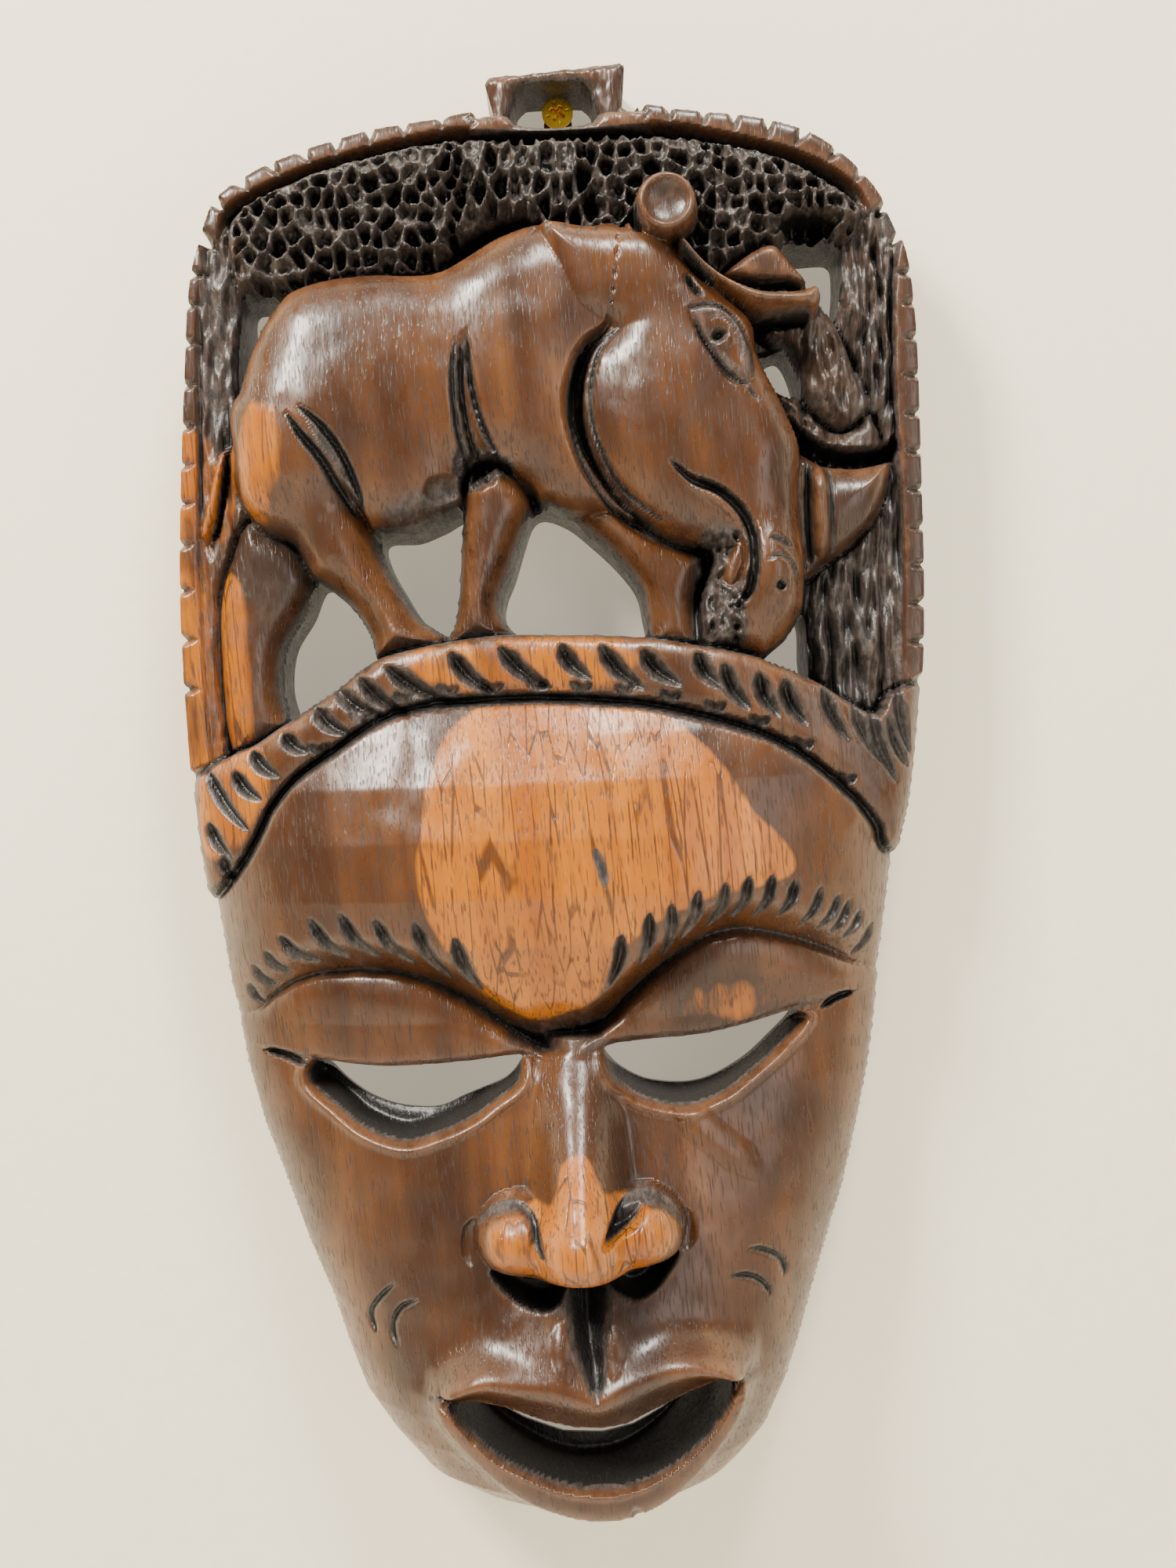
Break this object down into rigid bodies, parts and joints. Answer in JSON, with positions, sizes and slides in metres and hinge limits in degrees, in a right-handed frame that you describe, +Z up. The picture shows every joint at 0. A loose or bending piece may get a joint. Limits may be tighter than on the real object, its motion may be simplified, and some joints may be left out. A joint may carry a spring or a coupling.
{
  "type": "carved wooden wall mask",
  "caption": "Long carved face mask with slit eyes and an open mouth below an openwork crest with a grazing buffalo, hung from a lug on a wall screw.",
  "frame": {"origin": "where the hanging screw's axis meets the wall", "axes": "+X to the right, +Y into the wall along the screw, +Z up along the face; the carving faces -Y"},
  "size_m": [0.196, 0.1191, 0.3831],
  "materials": {
    "heartwood": "hand rubbed, satin to gloss",
    "red_heartwood": "hand rubbed, satin",
    "golden_sapwood": "hand rubbed, satin to gloss",
    "black_stained_wood": "stained black, waxed",
    "zinc_yellow_steel": "yellow passivated zinc",
    "nylon_plug": "moulded"
  },
  "bodies": {
    "wall_plug": {"wall_plug": "nylon_plug"},
    "wall_screw": {"wall_screw": "zinc_yellow_steel"},
    "mask": {"hanging_lug": "red_heartwood", "rim_top": "red_heartwood", "left_post": "golden_sapwood", "right_post": "red_heartwood", "leaf_canopy": "black_stained_wood", "buffalo_body": "heartwood", "buffalo_head": "heartwood", "buffalo_ear": "red_heartwood", "buffalo_tail": "golden_sapwood", "near_hind_leg": "golden_sapwood", "far_hind_leg": "golden_sapwood", "near_foreleg": "heartwood", "far_foreleg": "heartwood", "near_horn": "red_heartwood", "far_horn": "black_stained_wood", "ringed_horn": "red_heartwood", "vine_branch": "black_stained_wood", "bark_panel": "black_stained_wood", "braid_arch": "heartwood", "forehead": "golden_sapwood", "left_brow": "heartwood", "right_brow": "heartwood", "left_eyelid": "heartwood", "right_eyelid": "heartwood", "nose": "golden_sapwood", "left_cheek": "heartwood", "right_cheek": "heartwood", "upper_lip": "heartwood", "lower_lip": "red_heartwood", "chin": "red_heartwood"}
  },
  "joints": [
    {"name": "swing", "type": "hinge", "parent": "wall_plug", "child": "wall_screw", "pos_m": [0, 0, 0], "axis": [0, 1, 0], "range_deg": [-10, 10]},
    {"name": "lift_off", "type": "slide", "parent": "wall_screw", "child": "mask", "axis": [0, -1, 0], "range_m": [0, 0.06]}
  ]
}
